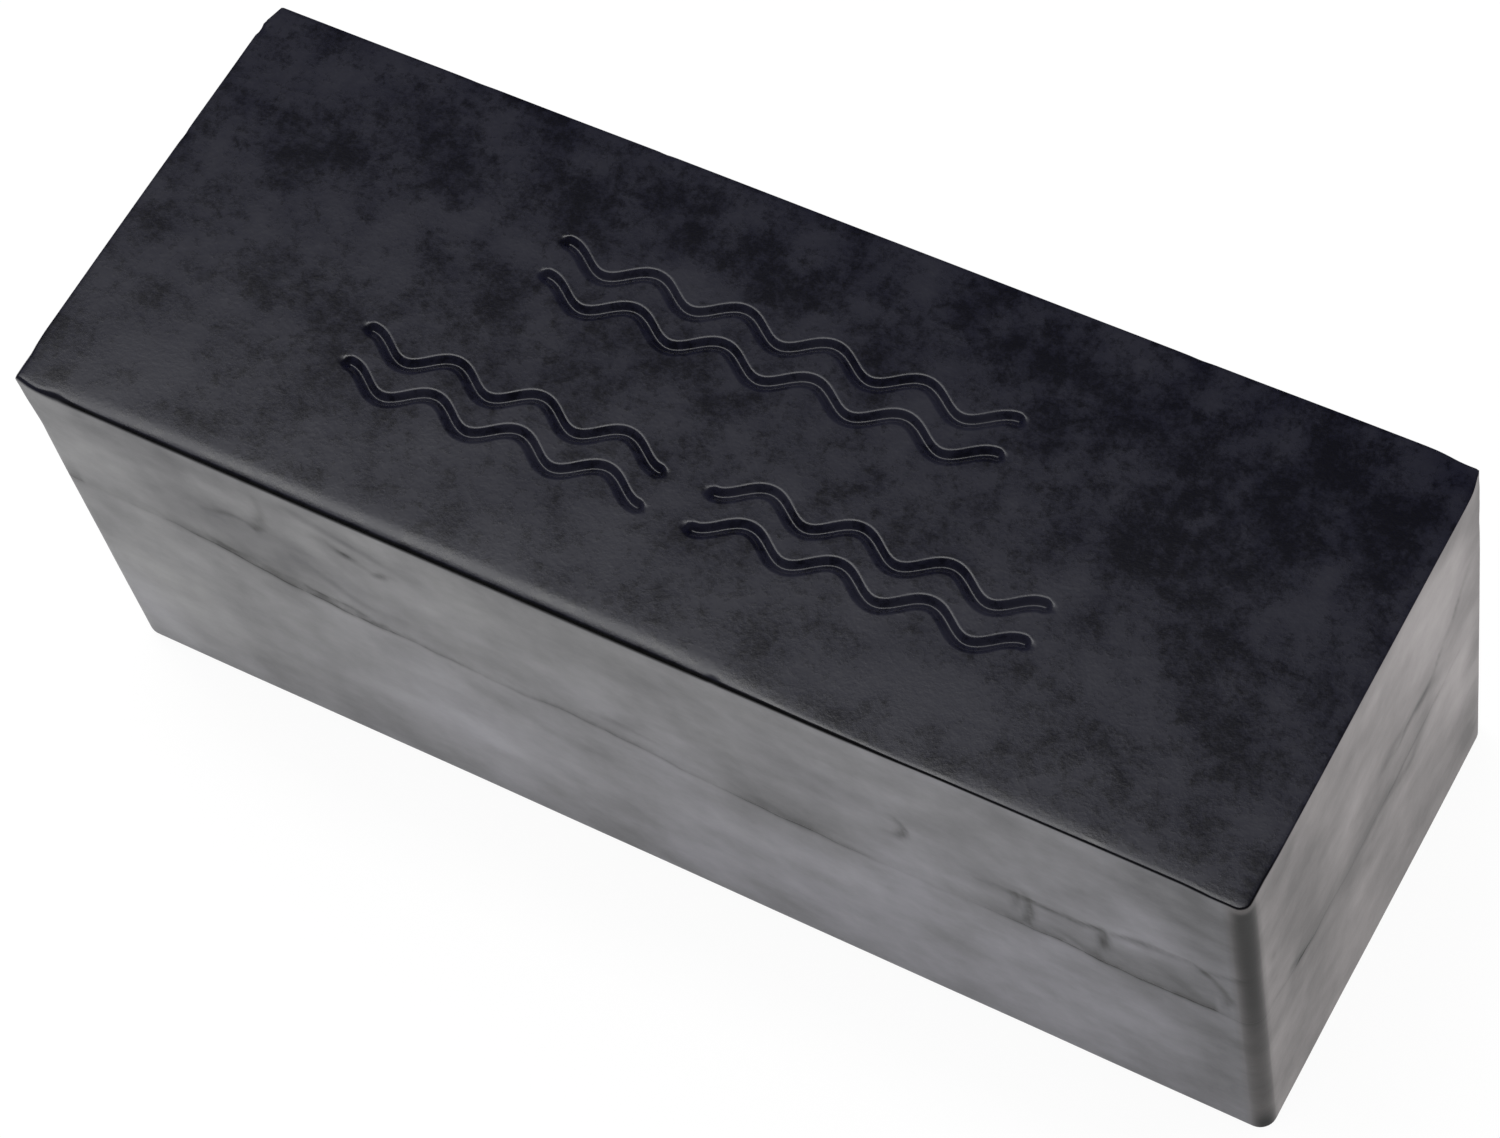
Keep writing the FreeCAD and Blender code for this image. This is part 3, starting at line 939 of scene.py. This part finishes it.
class Wire:
    """An output socket that can be used in sums and products with numbers and other wires."""

    def __init__(self, graph, socket):
        self.graph, self.socket = graph, socket

    def maths(self, operation, *values):
        return self.graph.node("Math", {"operation": operation}, dict(enumerate(values)))

    def __add__(self, other):
        return self.maths("ADD", self, other)

    def __sub__(self, other):
        return self.maths("SUBTRACT", self, other)

    def __rsub__(self, other):
        return self.maths("SUBTRACT", other, self)

    def __mul__(self, other):
        return self.maths("MULTIPLY", self, other)

    def __pow__(self, other):
        return self.maths("POWER", self, other)

    __radd__ = __add__
    __rmul__ = __mul__


class Graph:
    """The node tree of one material or of the world."""

    def __init__(self, tree):
        self.tree = tree
        tree.nodes.clear()

    def node(self, kind, settings, inputs, output=0):
        """A node of that kind with its settings, then its socket values or links, as a wire."""
        node = self.tree.nodes.new("ShaderNode" + kind)
        for name, value in settings.items():
            if name == "stops":
                for place, shade in value[1:-1]:
                    node.color_ramp.elements.new(place)
                for stop, (place, shade) in zip(node.color_ramp.elements, value):
                    stop.position, stop.color = place, (shade, shade, shade, 1)
            else:
                setattr(node, name, value)
        for name, value in inputs.items():
            if isinstance(value, Wire):
                self.tree.links.new(value.socket, node.inputs[name])
            else:
                node.inputs[name].default_value = value
        return Wire(self, node.outputs[output]) if len(node.outputs) else node

    def mark(self, name):
        """A mark kept on the mesh."""
        return self.node("Attribute", {"attribute_name": name}, {}, "Fac")

    def noise(self, place, scale, detail=4.0, rough=0.55, twist=0.0):
        """Smooth noise from about 0 to 1, with that many bumps per metre."""
        values = {"Vector": place, "Scale": scale, "Detail": detail, "Roughness": rough, "Distortion": twist}
        return self.node("TexNoise", {}, values)

    def ramp(self, value, stops):
        """Grey ramp through (place, shade) stops."""
        return self.node("ValToRGB", {"stops": stops}, {"Fac": value})

    def mix(self, share, first, second):
        """Colour between two colours."""
        return self.node("Mix", {"data_type": "RGBA"}, {0: share, 6: first, 7: second}, 2)

    def stretched(self, place, scale):
        """A place with each axis scaled, which draws noise out into streaks."""
        return self.node("Mapping", {}, {"Vector": place, "Scale": scale})


def fresh(name):
    """A new material and its empty graph."""
    material = bpy.data.materials.new(name)
    material.use_nodes = True
    return material, Graph(material.node_tree)


def grey(value, warm=0.0):
    """A near-grey colour, a little red where warm is positive and a little blue where it is negative."""
    return (value * (1 + warm), value, value * (1 - warm), 1)


# %% [markdown]
# ## Black rubber
#
# Cured black rubber is a very dark, slightly bluish solid. The top took the polish of the mould's lid, so
# it is glossy, and it is mottled by dark specks in loose clusters, which are smoother still. On the sides a
# thin bloom of wax has come out and dried to a grey haze, which is matt, uneven and smeared along the knit
# line. Handling has rubbed it off the upright corners, so they are black. Some colour is painted light and
# shade: the creases and the round of the top's front edge are painted dark as shade, the haze is paler low
# down against the floor's shade and darker along the front's foot, the back of the right end is paler as a
# painted reflection, and a rubbed corner's darkness follows the light up its height. One material does it
# all, guided by the marks.

# %% Finish of the rubber
RUBBER_IOR = 1.43
RUBBER_SHEEN = 0.12
RUBBER_SHEEN_ROUGHNESS = 0.3
# Noises: bumps per metre, octaves of detail, and how much each finer octave counts
CLOUDS = (84, 6, 0.64)
SPECKS = (430, 5, 0.78)
GRAIN = (1300, 2, 0.6)
BROAD = (36, 6, 0.55)
CLOUDY = (120, 5, 0.65)
LEVEL = (150, 4, 0.6)
SMEARS = (150, 5, 0.7)
TOP_PLAIN, TOP_DULL = (0.0118, 0.0120, 0.0225, 1), (0.0030, 0.0032, 0.0130, 1)
TOP_SPECK, TOP_GRAIN = (0.0002, 0.0002, 0.0045, 1), (0.0008, 0.0008, 0.0040, 1)
BLOOM_WARM, BLOOM_COOL = (0.282, 0.281, 0.284, 1), (0.272, 0.268, 0.298, 1)
FRONT_BARE = (0.062, 0.062, 0.068, 1)
# The end's pale bloom is partly a painted reflection, strongest at the upper back of the right end.
END_BARE, END_BLOOM_AND_PAINTED_REFLECTION = (0.092, 0.083, 0.083, 1), (0.378, 0.350, 0.350, 1)
CREASE_SHADE_AND_KNIT_TONE, ON_CORNER, ON_PAINTED_EDGE_LINE = grey(0.006, 0.02), grey(0.003, 0.01), grey(0.0008)
TOP_ROUGH, WALL_ROUGH = 0.294, 0.56
BUMP_SHARE, BUMP_TALL = 0.5, 0.00012
HALF_WAY_UP = 0.04


def black_rubber():
    """Polished and mottled on the top, grey and uneven on the sides, black on rubbed corners, with painted
    shade in creases and on the edge's round.
    """
    material, graph = fresh("black_rubber")
    place = graph.node("TexCoord", {}, {}, "Object")
    names = ("side", "crease", "smudge", "corner", "lip")
    side, crease, smudge, corner, lip = (graph.mark(name) for name in names)
    lengthwise = graph.node("SeparateXYZ", {}, {"Vector": place}, 0)
    risen = graph.node("SeparateXYZ", {}, {"Vector": place}, 2) - HALF_WAY_UP

    clouds = graph.noise(place, *CLOUDS)
    specks = graph.noise(place, *SPECKS)
    grain = graph.noise(place, *GRAIN)
    dull = graph.ramp(clouds + 0.18 * smudge, [(0.36, 0), (0.64, 1)])
    specked = graph.ramp(specks + 0.16 * smudge + 0.7 * (clouds - 0.5), [(0.48, 0), (0.67, 1)])
    top = graph.mix(dull, TOP_PLAIN, TOP_DULL)
    top = graph.mix(specked, top, TOP_SPECK)
    top = graph.mix(grain * 0.3, top, TOP_GRAIN)

    broad = graph.noise(place, *BROAD)
    cloudy = graph.noise(place, *CLOUDY)
    level = graph.noise(graph.stretched(place, (0.35, 0.35, 1)), *LEVEL)
    # The haze is paler low down, which is painted light against the floor's shade, and paler towards the left
    # end.
    haze_and_painted_light = 0.54 * broad + 0.22 * cloudy + 0.24 * level - 0.35 * risen - 0.35 * lengthwise - 0.15 * smudge
    pale = graph.ramp(haze_and_painted_light, [(0.28, 0), (0.74, 1)])
    cool = graph.ramp(0.5 + 3.0 * lengthwise - 6.0 * risen + 0.8 * (broad - 0.5), [(0.2, 0), (0.8, 1)])
    fronts = graph.mix(pale, FRONT_BARE, graph.mix(cool, BLOOM_WARM, BLOOM_COOL))
    ends = graph.mix(pale, END_BARE, END_BLOOM_AND_PAINTED_REFLECTION)
    on_end = graph.ramp(lengthwise * 100 - 10, [(0.7, 0), (0.95, 1)])
    walls = graph.mix(on_end, fronts, ends)
    smeared = graph.ramp(graph.noise(place, *SMEARS), [(0.32, 0.35), (0.58, 1)])
    # Creases painted dark as shade, and the knit line's darker tone.
    walls = graph.mix(crease * smeared, walls, CREASE_SHADE_AND_KNIT_TONE)
    walls = graph.mix(corner * 0.95, walls, ON_CORNER)
    # The round of the top edge is painted black here, as painted shade.
    colour = graph.mix(lip, graph.mix(side, top, walls), ON_PAINTED_EDGE_LINE)

    top_rough = TOP_ROUGH - 0.035 * dull - 0.045 * specked
    wall_rough = WALL_ROUGH + 0.10 * pale + 0.12 * corner
    roughness = top_rough * (1 - side) + wall_rough * side

    skin = (0.40 * specks + 0.45 * clouds + 0.15 * grain) * (1 + 0.3 * side)
    bump = graph.node("Bump", {}, {"Strength": BUMP_SHARE, "Distance": BUMP_TALL, "Height": skin})

    shader = graph.node("BsdfPrincipled", {}, {
        "Base Color": colour, "Roughness": roughness, "Normal": bump, "IOR": RUBBER_IOR,
        "Sheen Weight": RUBBER_SHEEN, "Sheen Roughness": RUBBER_SHEEN_ROUGHNESS, "Sheen Tint": grey(0.9),
    })
    graph.node("OutputMaterial", {}, {"Surface": shader})
    return material


rubber = black_rubber()
for piece, node in ((upper_jacket, "rubber_upper_half"), (lower_jacket, "rubber_lower_half")):
    piece.data.materials.append(rubber)
    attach(piece, "root")
    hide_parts(node)
print(f"rubber graph has {len(rubber.node_tree.nodes)} nodes")

# %% [markdown]
# ## The steel bar
#
# The bar is sealed in and never seen, but it is a real piece with its own finish: hot-rolled steel keeps a
# blue-black mill scale that has flaked in places down to duller grey metal, with rust starting in the
# flakes. It keeps the solid's own mesh, so only its material is made.

# %% Finish of the steel
def mill_steel():
    """Blue-black scale drawn out along the bar, flaked to bare metal, with specks of rust."""
    material, graph = fresh("scaled_steel")
    place = graph.node("TexCoord", {}, {}, "Object")
    rolled = graph.stretched(place, (0.12, 1, 1))
    lines = graph.noise(rolled, 420, 5, 0.6)
    flakes = graph.ramp(graph.noise(place, 130, 6, 0.65, 0.4), [(0.54, 0), (0.58, 1)])
    rust = graph.ramp(graph.noise(place, 240, 5, 0.7), [(0.6, 0), (0.72, 1)]) * flakes
    scale = graph.mix(lines, (0.045, 0.047, 0.055, 1), (0.09, 0.09, 0.098, 1))
    metal = graph.mix(flakes, scale, (0.30, 0.28, 0.26, 1))
    colour = graph.mix(rust * 0.8, metal, (0.16, 0.06, 0.025, 1))
    skin = 0.6 * lines + 0.4 * flakes
    bump = graph.node("Bump", {}, {"Strength": 0.5, "Distance": 0.0002, "Height": skin})
    roughness = 0.52 - 0.1 * flakes + 0.3 * rust
    shader = graph.node("BsdfPrincipled", {}, {
        "Base Color": colour, "Metallic": 1 - 0.7 * rust, "Roughness": roughness, "Normal": bump,
    })
    graph.node("OutputMaterial", {}, {"Surface": shader})
    return material


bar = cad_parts["steel_bar"]
bar.data.materials.clear()
bar.data.materials.append(mill_steel())
print("bar finish:", bar.data.materials[0].name)

# %% [markdown]
# ## Floor and room
#
# The brick stands on a pale floor in an even white room. The floor is matt white and takes a shadow. To the
# camera and to reflections it also glows a little, so that it reads as white without more light on the
# brick. The room is white to the camera, lights matt surfaces evenly, and is dim to mirrors, because the
# dark top has to mirror something dark. Neither is sampled as a lamp, which would see no difference between
# those kinds of ray.

# %% Floor and world
FLOOR_GLOW = 0.9
GLOW_STRENGTH = 1.015
FLOOR_WHITE = 0.93
ROOM_LIGHT = 0.95
ROOM_MIRRORED = 0.08


def rays(graph, *kinds):
    """1 for rays of any of those kinds, and 0 for the rest."""
    paths = graph.tree.nodes.new("ShaderNodeLightPath")
    found = [Wire(graph, paths.outputs[kind]) for kind in kinds]
    share = found[0]
    for other in found[1:]:
        share = share.maths("MAXIMUM", share, other)
    return share


def pale_floor():
    """Matt white, mixed with a plain white glow for rays that see it directly."""
    material, graph = fresh("pale_floor")
    material.cycles.emission_sampling = "NONE"
    direct = rays(graph, "Is Camera Ray", "Is Glossy Ray", "Is Transmission Ray")
    matt = graph.node("BsdfDiffuse", {}, {"Color": grey(FLOOR_WHITE)})
    glow = graph.node("Emission", {}, {"Color": grey(1.0), "Strength": GLOW_STRENGTH})
    both = graph.node("MixShader", {}, {0: direct * FLOOR_GLOW, 1: matt, 2: glow})
    graph.node("OutputMaterial", {}, {"Surface": both})
    return material


def floor_sheet(half):
    """A square sheet at the foot of the brick."""
    mesh = bpy.data.meshes.new("floor")
    corners = [(-half, -half, 0), (half, -half, 0), (half, half, 0), (-half, half, 0)]
    mesh.from_pydata(corners, [], [(0, 1, 2, 3)])
    mesh.materials.append(pale_floor())
    return linked("floor", mesh)


floor_sheet(4.0)

world = bpy.data.worlds.new("room")
world.use_nodes = True
world.cycles.sampling_method = "NONE"
bpy.context.scene.world = world
room = Graph(world.node_tree)
lit = rays(room, "Is Diffuse Ray")
shown = rays(room, "Is Camera Ray")
strength = ROOM_MIRRORED + lit * (ROOM_LIGHT - ROOM_MIRRORED) + shown * (1 - ROOM_MIRRORED)
backdrop = room.node("Background", {}, {"Color": grey(1.0), "Strength": strength})
room.node("OutputWorld", {}, {"Surface": backdrop})
print(f"room: {ROOM_LIGHT} on matt surfaces, {ROOM_MIRRORED} in mirrors")

# %% [markdown]
# ## Lamps
#
# Two soft panels hang over the brick. The narrow one is bright, and its blurred image is most of what the
# top mirrors: it fades towards the back, which falls darker, and the front edge's shoulder leans towards it
# and draws it out into a pale band. The wide one only fills in round it. Nothing hangs in front of the
# brick, so that the round below the shoulder stays black.

# %% Hang the lamps
def panel(name, middle, turn, size, radiance):
    """A level area lamp facing down, turned in degrees, with a size in metres. A radiance of 1 is white.

    A lamp that shines evenly to one side gives off pi times its area times its radiance.
    """
    light = bpy.data.lights.new(name, "AREA")
    light.shape = "RECTANGLE"
    light.size, light.size_y = size
    light.energy = math.pi * size[0] * size[1] * radiance
    lamp = linked(name, light)
    lamp.location = middle
    lamp.rotation_euler = (0, 0, math.radians(turn))


panel("wide_panel", (-0.55, 0.28, 1.50), -12, (1.7, 0.52), 0.25)
panel("narrow_panel", (-0.60, 0.24, 1.45), 0, (1.0, 0.22), 8.5)
